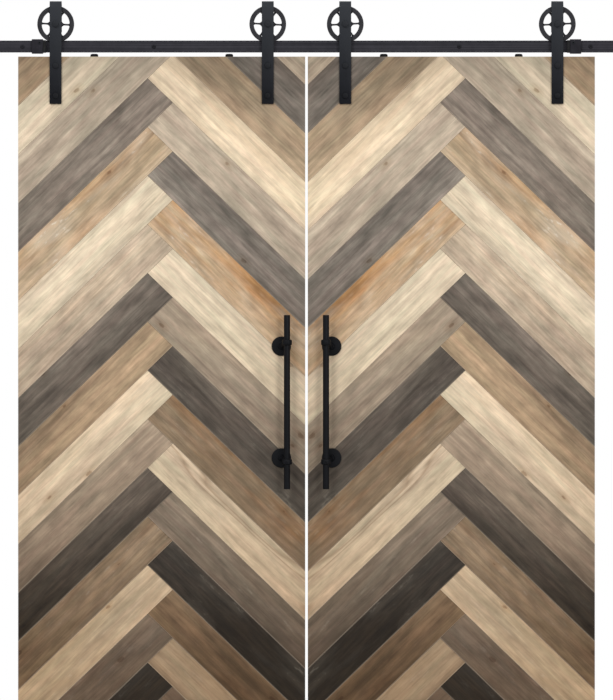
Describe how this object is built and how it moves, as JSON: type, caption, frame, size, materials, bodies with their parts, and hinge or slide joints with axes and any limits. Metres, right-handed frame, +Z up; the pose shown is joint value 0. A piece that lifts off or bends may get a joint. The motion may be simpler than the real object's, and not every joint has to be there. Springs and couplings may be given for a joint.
{
  "type": "barn doors",
  "caption": "Pair of sliding barn doors with herringbone boards, hung from a flat wall rail by strap hangers with spoked wheels, with bar handles.",
  "frame": {"origin": "bottom of the closed doors, midway between them and midway through the whole depth", "axes": "+X along the rail to the viewer's right, +Y into the wall, +Z up"},
  "size_m": [3.6576, 0.169, 2.3107],
  "materials": {
    "steel": "black powder coat, fine rough texture",
    "cast_iron": "black powder coat on cast wheels",
    "handle_steel": "satin black powder coat",
    "bolt_steel": "blackened steel",
    "bright_steel": "zinc plated",
    "rubber": "matt black",
    "wood_brown": "weathered brown board, matt",
    "wood_cream": "whitewashed board, matt",
    "wood_taupe": "grey brown weathered board, matt",
    "wood_dark": "dark stained board, matt",
    "plywood": "clear sealed plywood",
    "frame_wood": "stained boards, matt"
  },
  "bodies": {
    "track": {"track_rail": "steel", "rail_spacers": "steel", "rail_lag_bolts": "bolt_steel"},
    "left_door": {"left_planks_brown": "wood_brown", "left_planks_cream": "wood_cream", "left_planks_taupe": "wood_taupe", "left_planks_dark": "wood_dark", "left_panel": "plywood", "left_frame": "frame_wood", "left_outer_hanger": "steel", "left_inner_hanger": "steel", "left_axle_bolts": "bolt_steel", "left_axle_nuts": "bolt_steel", "left_axle_sleeves": "bright_steel", "left_strap_bolts": "bolt_steel", "left_strap_nuts": "bolt_steel", "left_anti_jump_discs": "steel", "left_disc_screws": "bolt_steel", "left_handle_bar": "handle_steel", "left_handle_posts": "handle_steel", "left_handle_plates": "handle_steel", "left_handle_bolts": "bolt_steel", "left_clamp_screws": "bolt_steel"},
    "left_stop": {"left_end_stop": "steel", "left_stop_bumper": "rubber", "left_stop_screw": "bolt_steel"},
    "left_outer_wheel": {"left_outer_wheel": "cast_iron", "left_outer_bearing": "bright_steel"},
    "left_inner_wheel": {"left_inner_wheel": "cast_iron", "left_inner_bearing": "bright_steel"},
    "right_door": {"right_planks_brown": "wood_brown", "right_planks_cream": "wood_cream", "right_planks_taupe": "wood_taupe", "right_planks_dark": "wood_dark", "right_panel": "plywood", "right_frame": "frame_wood", "right_outer_hanger": "steel", "right_inner_hanger": "steel", "right_axle_bolts": "bolt_steel", "right_axle_nuts": "bolt_steel", "right_axle_sleeves": "bright_steel", "right_strap_bolts": "bolt_steel", "right_strap_nuts": "bolt_steel", "right_anti_jump_discs": "steel", "right_disc_screws": "bolt_steel", "right_handle_bar": "handle_steel", "right_handle_posts": "handle_steel", "right_handle_plates": "handle_steel", "right_handle_bolts": "bolt_steel", "right_clamp_screws": "bolt_steel"},
    "right_stop": {"right_end_stop": "steel", "right_stop_bumper": "rubber", "right_stop_screw": "bolt_steel"},
    "right_outer_wheel": {"right_outer_wheel": "cast_iron", "right_outer_bearing": "bright_steel"},
    "right_inner_wheel": {"right_inner_wheel": "cast_iron", "right_inner_bearing": "bright_steel"}
  },
  "joints": [
    {"name": "left_door_slide", "type": "slide", "parent": "track", "child": "left_door", "axis": [-1, 0, 0], "range_m": [0, 0.9]},
    {"name": "left_stop_slide", "type": "slide", "parent": "track", "child": "left_stop", "axis": [-1, 0, 0], "range_m": [0, 0.9]},
    {"name": "left_outer_wheel_turn", "type": "hinge", "parent": "left_door", "child": "left_outer_wheel", "pos_m": [-0.79945, -0.00674, 2.2375], "axis": [0, 1, 0], "range_deg": [-992, 0]},
    {"name": "left_inner_wheel_turn", "type": "hinge", "parent": "left_door", "child": "left_inner_wheel", "pos_m": [-0.12345, -0.00674, 2.2375], "axis": [0, 1, 0], "range_deg": [-992, 0]},
    {"name": "right_door_slide", "type": "slide", "parent": "track", "child": "right_door", "axis": [1, 0, 0], "range_m": [0, 0.9]},
    {"name": "right_stop_slide", "type": "slide", "parent": "track", "child": "right_stop", "axis": [1, 0, 0], "range_m": [0, 0.9]},
    {"name": "right_outer_wheel_turn", "type": "hinge", "parent": "right_door", "child": "right_outer_wheel", "pos_m": [0.79945, -0.00674, 2.2375], "axis": [0, 1, 0], "range_deg": [0, 992]},
    {"name": "right_inner_wheel_turn", "type": "hinge", "parent": "right_door", "child": "right_inner_wheel", "pos_m": [0.12345, -0.00674, 2.2375], "axis": [0, 1, 0], "range_deg": [0, 992]}
  ],
  "couplings": [
    {"joint": "left_stop_slide", "follows": "left_door_slide", "ratio": 1},
    {"joint": "left_outer_wheel_turn", "follows": "left_door_slide", "rad_per_m": -19.231},
    {"joint": "left_inner_wheel_turn", "follows": "left_door_slide", "rad_per_m": -19.231},
    {"joint": "right_stop_slide", "follows": "right_door_slide", "ratio": 1},
    {"joint": "right_outer_wheel_turn", "follows": "right_door_slide", "rad_per_m": 19.231},
    {"joint": "right_inner_wheel_turn", "follows": "right_door_slide", "rad_per_m": 19.231}
  ]
}
